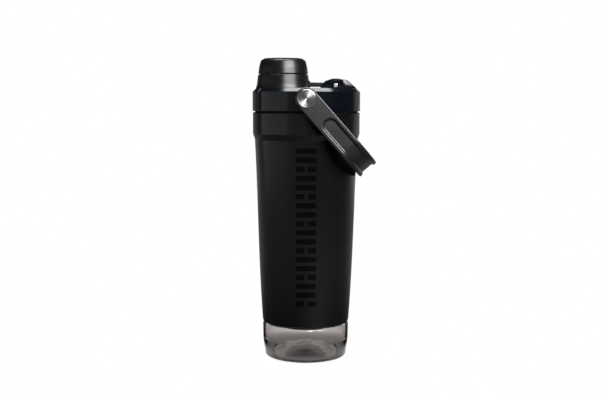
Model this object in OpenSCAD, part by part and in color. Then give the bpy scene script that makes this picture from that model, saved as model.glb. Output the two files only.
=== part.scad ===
// Insulated protein shaker bottle. Millimetres, +Z up, origin at the centre of the base.
// The spout and its cap are on the -X side, and the cap's hinge and the hanging handle on +X.

/* [Bottle] */
// Height of the shell's bottom edge above the table
shell_bottom = 29.8; // [29.8:0.1:30.2]
// Height of the bottle's rim
rim_z = 206.2; // [205.8:0.1:206.3]
// Outer radius at the foot of the shell
foot_r = 36.5; // [36.4:0.1:36.7]
// Outer radius just under the shoulder
waist_r = 43.1; // [42.8:0.1:43.3]
// Outer radius of the wide top band
band_r = 44.7; // [44.5:0.1:44.8]
// Thickness of the outer steel wall
shell_wall = 0.9; // [0.7:0.1:1]
// Thickness of the inner steel wall
liner_wall = 0.8; // [0.6:0.1:0.8]
// Width of the vacuum space between the walls
vacuum_gap = 2.4; // [2.2:0.1:2.6]

/* [Storage cup] */
// Outer radius of the cup under its shoulder
cup_r = 36.3; // [36.1:0.1:36.4]
// Height of the cup's shoulder
cup_shoulder = 29; // [28.8:0.1:29]
// Radius of the cup's threaded neck
cup_neck_r = 31.6; // [31.5:0.1:31.7]
// Wall thickness of the cup
cup_wall = 2.2; // [2:0.1:2.4]
// Height of the dome inside the cup
dome_h = 7.4; // [6:0.2:8]

/* [Lid] */
// Outer radius of the lid
lid_r = 45; // [44.9:0.1:45]
// Height of the lid's lower edge
lid_bottom = 207.2; // [207.2:0.1:207.4]
// Height of the flat deck
deck_z = 225.9; // [225.8:0.1:226]
// Size of the 45 degree chamfer round the deck
lid_chamfer = 2.8; // [2.5:0.1:3]
// Radius of the threaded plug
plug_r = 37.6; // [37.4:0.1:37.7]
// Diameter of the holes in the mixing grid
grid_hole = 5.2; // [4.6:0.2:5.4]

/* [Spout and cap] */
// Distance of the spout from the bottle's axis
spout_x = -19.45; // [-19.5:0.05:-19.4]
// Outer radius of the spout
spout_r = 13.5; // [13.3:0.1:13.6]
// Height of the spout's lip
spout_top = 240; // [239.8:0.1:240]
// Height of the top of the cap
cap_top = 250.8; // [250.4:0.1:251]
// Radius at the lower edge of the cap's ring
ring_r = 23.3; // [23.1:0.1:23.4]
// Width of the arm that tethers the cap
arm_w = 14; // [12:0.5:14]

/* [Hinge] */
// Distance of the hinge pin from the bottle's axis
hinge_x = 24.1; // [24:0.1:24.3]
// Height of the hinge pin
hinge_z = 228.5; // [228.4:0.1:228.6]
// Radius of the hinge pin
pin_r = 1.8; // [1.6:0.1:1.9]

/* [Handle] */
// Height of the handle's pivot
pivot_z = 217.3; // [217.2:0.1:217.4]
// Reach of the handle from its pivot
handle_reach = 78.7; // [78:0.1:79]
// Width of the handle's strap
handle_w = 18.1; // [17.6:0.1:18.2]
// Thickness of the handle's strap
handle_t = 4.3; // [4.1:0.1:4.3]
// How far below level the handle hangs at rest, degrees
hang_angle = 48.5; // [48:0.1:48.6]
// Diameter of the head of a pivot screw
screw_head_d = 14.7; // [14:0.1:15]

/* [Hidden] */
$fn = 96;

// Colours
steel_colour = [0.62, 0.62, 0.62];
coat_colour = [0.14, 0.14, 0.145];
lid_colour = [0.1, 0.11, 0.13];
strap_colour = [0.2, 0.2, 0.2];
smoke_colour = [0.45, 0.43, 0.42];
inner_colour = [0.22, 0.22, 0.23];
silicone_colour = [0.3, 0.3, 0.31];
brass_colour = [0.72, 0.6, 0.34];

// Bottle: the side is one smooth curve from foot_z to waist_z, then the shoulder runs to band_z
foot_round = [1.1, 2.2];
foot_edge = 0.4;
foot_z = shell_bottom + foot_round[1];
foot_bore_r = foot_r - foot_round[0] - foot_edge;
waist_z = 183.1;
band_z = 188.8;
foot_slope = 0.073;
waist_slope = 0.054;
side_steps = 14;
shoulder_steps = 6;
rim_round = 0.8;
collar_top = 43;
collar_ring_r = 30;
collar_ring_t = 1.2;
base_top = 44;
liner_bottom = 47.2;
liner_corner = 8;
liner_side_z = liner_bottom + liner_corner + 4;
neck_r = waist_r - shell_wall - vacuum_gap + 0.2;

// Threads: three starts each, a right-hand screw
step_angle = 7.5;
starts = 3;
lid_lead = 12;
lid_thread_z = 194;
lid_thread_turns = 0.62;
lid_ridge = [1.7, 0.7];
cup_lead = 9;
cup_thread_z = 32.4;
cup_thread_turns = 0.75;
cup_ridge = [1.2, 0.5];
collar_r = cup_neck_r + 1.8;

// Cup
cup_neck_top = 41.2;
cup_foot_r = 30.8;
cup_corner = 4.2;
cup_shoulder_t = 1.4;
cup_flat_r = 25;
cup_side_z = [14, 17];
dome_steps = 6;

// Lid
lid_wall = 2.4;
deck_wall = 2.5;
plug_wall = 2.4;
plug_bottom = 190;
gasket_r = 43.3;
plate_t = 2.2;
boss_r = 7;
boss_depth = 8.5;
pad_r = 7.6;
pad_y = lid_r + 0.2;
panel_angle = 29;
groove_w = 0.7;

// Cap
spout_wall = 2.2;
ring_top = 237.5;
ring_bottom = 227.1;
ring_high_r = ring_r - 2.1;
cap_bottom = 238;
arm_low = 227.4;
arm_high = 230.9;
ring_bore = 19.4;
lip_z = 228.8;
liner_r = ring_bore - 0.3;
cap_inner_r = 17;
lug_angle = 50;
lug_h = 2.2;
cap_round = 2.5;
cap_wall_r = 18;

// Hinge
knuckle_r = 3.9;
knuckle_w = 14.6;
block_w = 22;
slot_w = 15.2;
slot_back = 5.4;
block_top = 233.3;
flip_limit = 130;
ear_r = 5.7;
ear_back = 30.2;
ear_front = hinge_x - 12.2;
block_back_slope = 1.13;

// Handle
arm_gap = 46.6;
arm_y = arm_gap + handle_t;
straight_reach = 50;
bush_sleeve_r = 4;
bush_flange_r = 7;
bush_bore_r = 2.5;
screw_y = arm_y + 0.1;
screw_head_t = 1.4;
channel_w = 11;
channel_depth = 1.7;
channel_start = 23.2;

function smooth(t) = t * t * (3 - 2 * t);

// Outer radius of the bottle at a height under the shoulder
function side_r(z) =
    let (t = (z - foot_z) / (waist_z - foot_z), span = waist_z - foot_z)
    foot_r * (1 + 2 * t) * pow(1 - t, 2) + span * foot_slope * t * pow(1 - t, 2)
    + waist_r * pow(t, 2) * (3 - 2 * t) - span * waist_slope * pow(t, 2) * (1 - t);

// Points of the bottle's side and shoulder, moved in by inset
function side_points(inset, from_z, to_z) =
    [for (i = [0 : side_steps]) let (z = from_z + (to_z - from_z) * i / side_steps) [side_r(z) - inset, z]];
function shoulder_points(inset) =
    [for (i = [1 : shoulder_steps]) let (t = i / shoulder_steps)
        [waist_r + (band_r - waist_r) * smooth(t) - inset, waist_z + (band_z - waist_z) * t]];
function reversed(list) = [for (i = [len(list) - 1 : -1 : 0]) list[i]];

// Points on an arc
function arc_points(centre, r, from_a, to_a, steps) =
    [for (i = [0 : steps]) let (a = from_a + (to_a - from_a) * i / steps)
        [centre[0] + r * cos(a), centre[1] + r * sin(a)]];

// A ring of rectangular section
module ring(r_in, r_out, z_low, z_high) {
    rotate_extrude() translate([r_in, z_low]) square([r_out - r_in, z_high - z_low]);
}

// A solid turned from an outline of radius and height points
module turned(points) {
    rotate_extrude() polygon(points);
}

// A cylinder along Y
module y_cylinder(r, y_low, y_high) {
    translate([0, y_high, 0]) rotate([90, 0, 0]) cylinder(r = r, h = y_high - y_low);
}

// Both sides of the lid, front and back
module on_side(side) {
    translate([0, 0, pivot_z]) rotate([0, 0, side == "front" ? 0 : 180]) children();
}

// One helical ridge that fades out at both ends
module ridge(root_r, crest_r, z_start, start_angle, turns, lead, widths) {
    steps = ceil(turns * 360 / step_angle);
    fade = 4;
    least = 0.3;
    half = [-widths[0] / 2, -widths[1] / 2, widths[1] / 2, widths[0] / 2];
    points = [for (i = [0 : steps], k = [0 : 3])
        let (a = start_angle + turns * 360 * i / steps,
            depth = max(least, min(1, i / fade, (steps - i) / fade)),
            r = k == 0 || k == 3 ? root_r : root_r + (crest_r - root_r) * depth)
        [r * cos(a), r * sin(a), z_start + lead * turns * i / steps + half[k]]];
    sides = [for (i = [0 : steps - 1], k = [0 : 3]) let (m = (k + 1) % 4, a = 4 * i)
        each [[a + k, a + m, a + 4 + m], [a + k, a + 4 + m, a + 4 + k]]];
    last = 4 * steps;
    ends = [[0, 3, 2], [0, 2, 1], [last, last + 1, last + 2], [last, last + 2, last + 3]];
    faces = concat(sides, ends);
    polyhedron(points, crest_r > root_r ? faces : [for (f = faces) reversed(f)]);
}

module thread(root_r, crest_r, z_start, turns, lead, widths) {
    for (k = [0 : starts - 1])
        ridge(root_r, crest_r, z_start, k * 360 / starts, turns, lead, widths);
}

// ---- Bottle ----

module outer_shell() color(coat_colour) {
    inner_band = band_r - shell_wall;
    foot_in = foot_r - foot_round[0];
    turned(concat(
        [[foot_bore_r, shell_bottom]],
        [for (a = [-90 : 18 : -18]) [foot_in + foot_round[0] * cos(a), foot_z + foot_round[1] * sin(a)]],
        side_points(0, foot_z, waist_z),
        shoulder_points(0),
        arc_points([band_r - rim_round, rim_z - rim_round], rim_round, 0, 90, 4),
        [[neck_r + liner_wall, rim_z], [neck_r + liner_wall, rim_z - shell_wall]],
        [[inner_band, rim_z - shell_wall]],
        reversed(shoulder_points(shell_wall)),
        reversed(side_points(shell_wall, foot_z, waist_z))));
}

module inner_liner() color(steel_colour) {
    outer_inset = shell_wall + vacuum_gap;
    inner_inset = outer_inset + liner_wall;
    low = liner_bottom + liner_corner;
    r_out = side_r(low) - outer_inset;
    corner = [r_out - liner_corner, low];
    turned(concat(
        [[0, liner_bottom]],
        arc_points(corner, liner_corner, -90, 0, 5),
        side_points(outer_inset, liner_side_z, waist_z),
        [[neck_r + liner_wall, band_z], [neck_r + liner_wall, rim_z], [neck_r, rim_z], [neck_r, band_z]],
        reversed(side_points(inner_inset, liner_side_z, waist_z)),
        reversed(arc_points(corner, liner_corner - liner_wall, -90, 0, 5)),
        [[0, liner_bottom + liner_wall]]));
    thread(neck_r + 0.3, neck_r - 1.1, lid_thread_z, lid_thread_turns, lid_lead, lid_ridge);
}

module vessel_base() color(steel_colour) {
    edge = side_r(collar_top) - shell_wall - 0.05;
    turned([[0, base_top - shell_wall], [edge, base_top - shell_wall], [edge, base_top], [0, base_top]]);
}

module getter() color(steel_colour) {
    getter_x = 14;
    getter_r = 4;
    getter_t = 1.8;
    translate([getter_x, 0, base_top]) cylinder(r = getter_r, h = getter_t);
}

module base_collar() color(inner_colour) {
    low = shell_bottom + 0.6;
    top_r = side_r(collar_top) - shell_wall - 0.1;
    ring_low = collar_top - collar_ring_t;
    turned([[collar_r, low], [foot_bore_r - 0.1, low], [foot_r - shell_wall - 0.1, foot_z],
        [top_r, collar_top], [collar_ring_r, collar_top], [collar_ring_r, ring_low], [collar_r, ring_low]]);
    thread(collar_r + 0.3, collar_r - 1.2, cup_thread_z, cup_thread_turns, cup_lead, cup_ridge);
}

// ---- Storage cup ----

module storage_seal() color(silicone_colour) {
    ring(collar_r + 0.1, foot_bore_r - 0.2, cup_shoulder + 0.03, shell_bottom + 0.57);
}

// Dome of the cup's floor: height at a radius, of a dome that is this high at its middle
function dome_z(r, h) = h * pow(cos(90 * r / cup_flat_r), 2);

module storage_cup() color(smoke_colour) {
    under = dome_h - cup_wall;
    inside = cup_r - cup_wall;
    floor_r = cup_foot_r - 0.8;
    ceiling = cup_shoulder - cup_shoulder_t;
    dome = [for (i = [0 : dome_steps]) cup_flat_r * i / dome_steps];
    outside_corner = [cup_foot_r, cup_corner];
    turned(concat(
        [for (r = dome) [r, dome_z(r, under)]],
        arc_points(outside_corner, cup_corner, -90, 0, 5),
        [[cup_r - 0.2, cup_side_z[1]], [cup_r, cup_shoulder - 0.8], [cup_r - 0.8, cup_shoulder]],
        [[cup_neck_r, cup_shoulder], [cup_neck_r, cup_neck_top], [cup_neck_r - cup_wall, cup_neck_top]],
        [[cup_neck_r - cup_wall, ceiling], [inside - 1, ceiling], [inside, ceiling - 1]],
        [[inside - 0.3, cup_side_z[0]]],
        reversed(arc_points([floor_r, cup_corner + 1], cup_corner - 1.2, -90, 0, 5)),
        [for (r = reversed(dome)) [r, cup_wall + dome_z(r, under)]]));
    thread(cup_neck_r - 0.3, cup_neck_r + 1.3, cup_thread_z + cup_lead / starts / 2, cup_thread_turns,
        cup_lead, cup_ridge);
}

// ---- Lid ----

module lid_gasket() color(silicone_colour) {
    ring(neck_r + 0.9, gasket_r, rim_z + 0.03, lid_bottom - 0.03);
}

// Pocket under the hinge in which the knuckle turns
module knuckle_pocket() {
    translate([hinge_x, 0, hinge_z]) y_cylinder(knuckle_r + 0.4, -slot_w / 2, slot_w / 2);
}

module lid_shell() color(lid_colour) {
    inner_r = lid_r - lid_wall;
    inner_top = deck_z - deck_wall;
    difference() {
        union() {
            turned([[inner_r, lid_bottom], [lid_r, lid_bottom], [lid_r, deck_z - lid_chamfer],
                [lid_r - lid_chamfer, deck_z], [0, deck_z], [0, inner_top], [inner_r - 2, inner_top],
                [inner_r, inner_top - 2]]);
            for (side = ["front", "back"]) on_side(side) {
                y_cylinder(boss_r, -lid_r + 1, -lid_r + boss_depth);
                y_cylinder(pad_r, -pad_y, -lid_r + 2);
            }
        }
        translate([spout_x, 0, inner_top - 1]) cylinder(r = spout_r + 0.1, h = deck_wall + 2);
        for (side = ["front", "back"]) on_side(side)
            y_cylinder(bush_sleeve_r, -pad_y - 1, -lid_r + boss_depth - 1);
        knuckle_pocket();
        for (turn = [180 - panel_angle, 180 + panel_angle]) rotate([0, 0, turn])
            translate([lid_r - 0.5, -groove_w / 2, lid_bottom - 1]) cube([2, groove_w, deck_z - lid_bottom - 1]);
    }
}

module lid_core() color(inner_colour) {
    difference() {
        union() {
            ring(plug_r - plug_wall, plug_r, plug_bottom, lid_bottom + 1);
            translate([0, 0, lid_bottom]) cylinder(r = lid_r - lid_wall, h = plate_t);
        }
        translate([spout_x, 0, lid_bottom - 1]) cylinder(r = spout_r, h = plate_t + 2);
    }
    thread(plug_r - 0.3, neck_r - 0.4, lid_thread_z + lid_lead / starts / 2, lid_thread_turns,
        lid_lead, lid_ridge);
}

module spout() color(inner_colour) translate([spout_x, 0, 0]) {
    bore = spout_r - spout_wall;
    flange_r = spout_r + 3;
    lug_low = 232.4;
    turned([[bore, lid_bottom], [spout_r, lid_bottom], [spout_r, deck_z], [flange_r, deck_z],
        [flange_r, deck_z + 0.9], [spout_r, deck_z + 0.9], [spout_r, spout_top - 0.8],
        [spout_r - 0.8, spout_top], [bore + 0.5, spout_top], [bore, spout_top - 0.5]]);
    for (turn = [0, 180]) rotate([0, 0, turn - lug_angle / 2])
        rotate_extrude(angle = lug_angle) translate([spout_r - 0.2, lug_low]) square([2.2, lug_h]);
}

module mixing_grid() color(inner_colour) {
    snap_r = plug_r - plug_wall;
    pitch = grid_hole + 1.6;
    rows = 4;
    difference() {
        union() {
            ring(snap_r - 2, snap_r - 0.05, plug_bottom - 2, plug_bottom + 4);
            translate([0, 0, plug_bottom - 4]) cylinder(r = plug_r - 0.4, h = 2);
            ring(snap_r - 2, plug_r - 0.4, plug_bottom - 3, plug_bottom);
        }
        for (i = [-rows : rows], j = [-rows : rows])
            if (abs(i + j) <= rows)
                translate([pitch * (i + j / 2), pitch * j * sqrt(3) / 2, plug_bottom - 5])
                    cylinder(d = grid_hole, h = 4);
    }
}

// ---- Cap hinge ----

// An outline of X and Z points, as thick as width along Y
module upright(width) {
    translate([0, width / 2, 0]) rotate([90, 0, 0]) linear_extrude(width) children();
}

module hinge_block() color(lid_colour) difference() {
    rear = lid_r - lid_chamfer;
    rear_half_w = 6;
    rise = block_top - deck_z;
    intersection() {
        union() {
            // the two ears, one outline
            upright(block_w) polygon(concat(
                [[ear_front, deck_z], [ear_front, hinge_z - 0.6], [ear_front + 3.6, hinge_z + 3.6]],
                arc_points([hinge_x, hinge_z], ear_r, 120, 65, 6),
                [[ear_back, block_top], [ear_back, deck_z]]));
            // the sloped block behind them, narrower towards the rim
            translate([0, 0, deck_z]) linear_extrude(rise) polygon([[ear_back - 1, -block_w / 2 + 0.3],
                [ear_back, -block_w / 2 + 0.3], [rear + 2, -rear_half_w], [rear + 2, rear_half_w],
                [ear_back, block_w / 2 - 0.3], [ear_back - 1, block_w / 2 - 0.3]]);
        }
        // its back carries on the lid's chamfer
        translate([0, 0, deck_z])
            cylinder(r1 = rear, r2 = rear - block_back_slope * (rise + 2), h = rise + 2);
    }
    // slot for the knuckle, and the slope that the open arm rests on
    upright(slot_w) union() {
        translate([ear_front - 1, deck_z - 1]) square([hinge_x + slot_back - ear_front + 1, 12]);
        translate([hinge_x, hinge_z]) rotate(-flip_limit)
            translate([-40, 0]) square([40, arm_high - hinge_z + 0.15]);
    }
    translate([hinge_x, 0, hinge_z]) y_cylinder(pin_r, -block_w, block_w);
}

module hinge_pin() color(steel_colour) {
    translate([hinge_x, 0, hinge_z]) y_cylinder(pin_r, -block_w / 2 - 0.2, block_w / 2 + 0.2);
}

module cap_arm() color(strap_colour) {
    plate_x = spout_x + ring_bore + 1.15;
    difference() {
        union() {
            translate([spout_x, 0, 0]) turned([[ring_bore + 1, ring_bottom], [ring_r, ring_bottom],
                [ring_r - 0.7, ring_bottom + 2.2], [ring_r - 1.3, ring_bottom + 4.4],
                [ring_high_r, ring_top - 0.3], [ring_high_r - 0.3, ring_top],
                [ring_bore, ring_top], [ring_bore, lip_z], [ring_bore + 1, lip_z]]);
            translate([plate_x, -arm_w / 2, arm_low]) cube([hinge_x - plate_x, arm_w, arm_high - arm_low]);
            translate([hinge_x, 0, hinge_z]) y_cylinder(knuckle_r, -knuckle_w / 2, knuckle_w / 2);
        }
        translate([hinge_x, 0, hinge_z]) y_cylinder(pin_r + 0.06, -block_w, block_w);
    }
}

module cap_shell() color(strap_colour) translate([spout_x, 0, 0]) {
    low_r = ring_high_r - 0.4;
    high_r = low_r - 1.7;
    ceiling = cap_top - cap_round;
    turned(concat([[cap_wall_r, cap_bottom], [low_r, cap_bottom]],
        arc_points([high_r - cap_round, ceiling], cap_round, 0, 90, 6),
        [[0, cap_top], [0, ceiling], [cap_wall_r, ceiling]]));
}

module cap_liner() color(inner_colour) translate([spout_x, 0, 0]) {
    plate_low = spout_top + 2.2;
    lug_low = 229.6;
    turned([[cap_inner_r, arm_low], [ring_bore + 0.6, arm_low], [ring_bore + 0.6, lip_z - 0.4],
        [liner_r, lip_z - 0.4], [liner_r, cap_bottom], [cap_wall_r - 0.05, cap_bottom],
        [cap_wall_r - 0.05, plate_low + 2], [0, plate_low + 2], [0, plate_low],
        [cap_inner_r - 0.4, plate_low], [cap_inner_r - 0.4, cap_bottom], [cap_inner_r, cap_bottom]]);
    for (turn = [90, 270]) rotate([0, 0, turn - lug_angle / 2])
        rotate_extrude(angle = lug_angle) translate([spout_r + 1, lug_low])
            square([cap_inner_r - spout_r - 0.8, lug_h]);
}

module cap_seal() color(silicone_colour) translate([spout_x, 0, spout_top + 0.1]) {
    cylinder(r = cap_inner_r - 0.5, h = 2.1);
}

// ---- Handle ----

// The U of the handle seen along its width, grown by extra
module handle_outline(extra, tip) {
    half = arm_gap + extra;
    translate([-20, -half]) square([straight_reach + 20, 2 * half]);
    intersection() {
        translate([straight_reach, 0]) scale([(tip - straight_reach) / half, 1]) circle(r = half);
        translate([straight_reach - 1, -half]) square([tip, 2 * half]);
    }
}

module handle() color(strap_colour) {
    outer_tip = handle_reach;
    inner_tip = handle_reach - handle_t;
    translate([0, 0, pivot_z]) rotate([0, hang_angle, 0]) difference() {
        intersection() {
            translate([0, 0, -handle_w / 2]) linear_extrude(handle_w) difference() {
                handle_outline(handle_t, outer_tip);
                handle_outline(0, inner_tip);
            }
            union() {
                y_cylinder(handle_w / 2, -arm_y - 1, arm_y + 1);
                translate([0, -arm_y - 1, -handle_w / 2]) cube([handle_reach + 1, 2 * arm_y + 2, handle_w]);
            }
        }
        // channel along the outer face
        intersection() {
            translate([0, 0, -channel_w / 2]) linear_extrude(channel_w) difference() {
                handle_outline(handle_t + 1, outer_tip + 1);
                handle_outline(handle_t - channel_depth, outer_tip - channel_depth);
            }
            union() {
                translate([channel_start + channel_w / 2, 0, 0]) y_cylinder(channel_w / 2, -60, 60);
                translate([channel_start + channel_w / 2, -60, -channel_w / 2]) cube([80, 120, channel_w]);
            }
        }
        y_cylinder(bush_sleeve_r + 0.05, -arm_y - 1, arm_y + 1);
    }
}

module pivot_screw(side) color(steel_colour) on_side(side) rotate([90, 0, 0]) {
    head_r = screw_head_d / 2;
    shank_low = lid_r - boss_depth + 2;
    turned([[0, shank_low], [bush_bore_r, shank_low], [bush_bore_r, screw_y], [head_r - 0.3, screw_y],
        [head_r, screw_y + 0.3], [head_r, screw_y + screw_head_t - 0.5], [head_r - 0.5, screw_y + screw_head_t],
        [0.7, screw_y + screw_head_t], [0, screw_y + screw_head_t - 0.4]]);
}

module pivot_bush(side) color(inner_colour) on_side(side) rotate([90, 0, 0]) {
    turned([[bush_bore_r, pad_y], [bush_flange_r, pad_y], [bush_flange_r, arm_gap - 0.1],
        [bush_sleeve_r, arm_gap - 0.1], [bush_sleeve_r, screw_y], [bush_bore_r, screw_y]]);
}

module pivot_insert(side) color(brass_colour) on_side(side) rotate([90, 0, 0]) {
    ring(bush_bore_r, bush_sleeve_r, lid_r - boss_depth + 1, pad_y - 0.4);
}

outer_shell();
inner_liner();
vessel_base();
getter();
base_collar();
storage_seal();
storage_cup();
lid_gasket();
lid_shell();
lid_core();
spout();
mixing_grid();
hinge_block();
hinge_pin();
cap_arm();
cap_shell();
cap_liner();
cap_seal();
handle();
pivot_screw("front");  // pivot_screw_front
pivot_screw("back");  // pivot_screw_back
pivot_bush("front");  // pivot_bush_front
pivot_bush("back");  // pivot_bush_back
pivot_insert("front");  // pivot_insert_front
pivot_insert("back");  // pivot_insert_back
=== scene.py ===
"""Looks of the insulated protein shaker bottle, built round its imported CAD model.

Sizes in this script are millimetres; add_mesh turns them into metres.
"""
import math

import bmesh
import bpy
from mathutils import Matrix, Vector


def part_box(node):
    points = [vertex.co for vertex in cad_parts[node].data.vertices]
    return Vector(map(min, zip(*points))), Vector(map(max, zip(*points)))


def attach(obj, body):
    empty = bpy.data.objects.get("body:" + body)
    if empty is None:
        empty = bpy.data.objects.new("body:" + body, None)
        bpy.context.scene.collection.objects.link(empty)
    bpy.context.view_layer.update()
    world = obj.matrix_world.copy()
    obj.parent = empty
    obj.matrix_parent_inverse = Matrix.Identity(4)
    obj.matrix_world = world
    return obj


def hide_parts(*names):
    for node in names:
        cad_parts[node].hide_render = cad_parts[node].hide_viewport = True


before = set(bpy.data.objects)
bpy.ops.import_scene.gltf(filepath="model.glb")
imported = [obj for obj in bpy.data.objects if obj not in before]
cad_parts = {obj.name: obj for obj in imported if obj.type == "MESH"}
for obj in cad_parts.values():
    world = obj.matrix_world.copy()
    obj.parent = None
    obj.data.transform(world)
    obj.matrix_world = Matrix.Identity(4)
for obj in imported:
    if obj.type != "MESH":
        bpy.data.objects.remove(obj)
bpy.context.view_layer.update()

MM = 0.001
QUARTER = math.radians(90)
SHARP = 32  # degrees: a steeper edge between two faces is drawn sharp
scene = bpy.context.scene


# ---- Sizes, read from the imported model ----

def low(node):
    """Lowest corner of a CAD node, in millimetres."""
    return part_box(node)[0] / MM


def high(node):
    """Highest corner of a CAD node, in millimetres."""
    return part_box(node)[1] / MM


def middle(node):
    return (low(node) + high(node)) / 2


FOOT_Z = low("outer_shell").z
RIM_Z = high("outer_shell").z
BAND_R = high("outer_shell").x
LID_R = -low("lid_shell").x
LID_Z = low("lid_shell").z
DECK_Z = high("lid_shell").z
CAP = middle("cap_shell")
CAP_TOP = high("cap_shell").z
CAP_LOW = low("cap_shell").z
CAP_R = high("cap_shell").y
RING_R = high("cap_arm").y
RING_LOW = low("cap_arm").z
HINGE = middle("hinge_pin")
PIN_R = (high("hinge_pin").z - low("hinge_pin").z) / 2
PIVOT = middle("pivot_bush_front")
SCREW_TOP = -low("pivot_screw_front").y
HEAD_R = high("pivot_screw_front").x
BUSH_LOW = -high("pivot_bush_front").y
BUSH_TOP = -low("pivot_bush_front").y
CUP_R = high("storage_cup").x
CUP_TOP = high("storage_cup").z


# ---- Mesh tools ----

def add_mesh(name, points, faces, sharp=SHARP):
    """An object from points in millimetres, smooth but for edges sharper than the angle."""
    mesh = bpy.data.meshes.new(name)
    mesh.from_pydata([tuple(c * MM for c in p) for p in points], [], faces)
    mesh.validate()
    obj = bpy.data.objects.new(name, mesh)
    scene.collection.objects.link(obj)
    return smooth(obj, sharp)


def smooth(obj, sharp=SHARP):
    obj.data.shade_smooth()
    obj.data.set_sharp_from_angle(angle=math.radians(sharp))
    return obj


def settle(obj, sharp=SHARP):
    """Applies the object's modifiers and its transform."""
    graph = bpy.context.evaluated_depsgraph_get()
    mesh = bpy.data.meshes.new_from_object(obj.evaluated_get(graph))
    obj.modifiers.clear()
    obj.data = mesh
    obj.data.transform(obj.matrix_world)
    obj.matrix_world = Matrix.Identity(4)
    return smooth(obj, sharp)


def boolean(obj, tool, operation="DIFFERENCE", sharp=SHARP):
    """Cuts a tool object out of another or joins it on, and removes the tool."""
    step = obj.modifiers.new(operation, "BOOLEAN")
    step.operation = operation
    step.object = tool
    step.solver = "EXACT"
    settle(obj, sharp)
    bpy.data.objects.remove(tool)
    tidy_mesh(obj)
    return smooth(obj, sharp)


def tidy_mesh(obj, closest=0.004):
    """Merges the near-coincident points that a cut leaves, and the slivers between them."""
    mesh = bmesh.new()
    mesh.from_mesh(obj.data)
    bmesh.ops.remove_doubles(mesh, verts=mesh.verts, dist=closest * MM)
    bmesh.ops.dissolve_degenerate(mesh, dist=closest * MM, edges=mesh.edges)
    mesh.to_mesh(obj.data)
    mesh.free()


def bevel(obj, width, segments=3, angle=30):
    """Rounds every edge that is sharper than the angle."""
    step = obj.modifiers.new("bevel", "BEVEL")
    step.width = width * MM
    step.segments = segments
    step.limit_method = "ANGLE"
    step.angle_limit = math.radians(angle)
    return settle(obj)


def rounded(corners, steps=5, closed=True):
    """An outline from corners (x, y, radius): a corner with a radius becomes an arc."""
    nearly_straight, side_share = math.radians(89.5), 0.49
    points = []
    count = len(corners)
    for i, (x, y, radius) in enumerate(corners):
        end = not closed and i in (0, count - 1)
        if radius <= 0 or end:
            points.append((x, y))
            continue
        here = Vector((x, y))
        before = Vector(corners[i - 1][:2]) - here
        after = Vector(corners[(i + 1) % count][:2]) - here
        half = before.angle(after) / 2
        if half > nearly_straight:
            points.append((x, y))
            continue
        reach = min(radius / math.tan(half), before.length * side_share, after.length * side_share)
        radius = reach * math.tan(half)
        centre = here + (before.normalized() + after.normalized()).normalized() * (radius / math.sin(half))
        start = here + before.normalized() * reach - centre
        finish = here + after.normalized() * reach - centre
        turn = start.angle_signed(finish)
        for k in range(steps + 1):
            a = turn * k / steps
            points.append((centre.x + (start.x * math.cos(a) + start.y * math.sin(a)),
                           centre.y + (start.y * math.cos(a) - start.x * math.sin(a))))
    return points


def supported(outline, inset=0.12):
    """The outline with extra points near the ends of its long stretches, which keep them truly flat."""
    points = []
    for start, finish in zip(outline, outline[1:] + outline[:1]):
        points.append(start)
        length = math.dist(start, finish)
        if length > 5 * inset:
            for share in (inset / length, 1 - inset / length):
                points.append((start[0] + (finish[0] - start[0]) * share,
                               start[1] + (finish[1] - start[1]) * share))
    return points


def lathe(name, outline, around=160, centre=(0, 0), sink=None):
    """Turns a closed outline of (radius, height) points.

    around is a number of even steps, or a list of angles; sink(angle, r, z) is how far a point goes in.
    """
    on_axis = 1e-6
    outline = supported(outline)
    angles = [2 * math.pi * k / around for k in range(around)] if isinstance(around, int) else around
    points, rows, faces = [], [], []
    for r, z in outline:
        if r < on_axis:
            rows.append([len(points)] * len(angles))
            points.append((centre[0], centre[1], z))
            continue
        rows.append(range(len(points), len(points) + len(angles)))
        for a in angles:
            reach = r - (sink(a, r, z) if sink else 0)
            points.append((centre[0] + reach * math.cos(a), centre[1] + reach * math.sin(a), z))
    for lower, upper in zip(rows, rows[1:] + rows[:1]):
        if lower[0] == lower[-1] and upper[0] == upper[-1]:
            continue
        for k in range(len(angles)):
            m = (k + 1) % len(angles)
            # at the axis two corners are one point, which leaves a triangle
            faces.append(list(dict.fromkeys([lower[k], lower[m], upper[m], upper[k]])))
    return add_mesh(name, points, faces)


def lay_along_y(obj, side_name):
    """Turns a lathed piece from +Z to point out of the bottle's front or back, at the pivot's height."""
    turn = Matrix.Rotation(QUARTER, 4, "X")
    if side_name == "back":
        turn = Matrix.Rotation(math.pi, 4, "Z") @ turn
    obj.data.transform(Matrix.Translation(Vector((0, 0, PIVOT.z)) * MM) @ turn)
    return obj


def lay_on_hinge(obj):
    """Turns a lathed piece from +Z to lie along Y on the axis of the cap's hinge."""
    obj.data.transform(Matrix.Translation(HINGE * MM) @ Matrix.Rotation(QUARTER, 4, "X"))
    return obj


def thread_tool(root, crest, z, turns, lead, widths, start):
    """One helical ridge as a closed strip, fading at its ends."""
    steps = int(turns * 120)
    fade, least_depth = 12, 0.08
    half = [-widths[0] / 2, -widths[1] / 2, widths[1] / 2, widths[0] / 2]
    points, faces = [], []
    for i in range(steps + 1):
        a = math.radians(start) + turns * 2 * math.pi * i / steps
        depth = max(least_depth, min(1, i / fade, (steps - i) / fade))
        for k in range(4):
            r = root if k in (0, 3) else root + (crest - root) * depth
            points.append((r * math.cos(a), r * math.sin(a), z + lead * turns * i / steps + half[k]))
    for i in range(steps):
        for k in range(4):
            m = (k + 1) % 4
            faces.append([4 * i + k, 4 * i + 4 + k, 4 * i + 4 + m, 4 * i + m])
    faces += [[0, 1, 2, 3], [4 * steps + 3, 4 * steps + 2, 4 * steps + 1, 4 * steps]]
    if crest < root:
        faces = [f[::-1] for f in faces]
    return add_mesh("ridge", points, faces)


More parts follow.
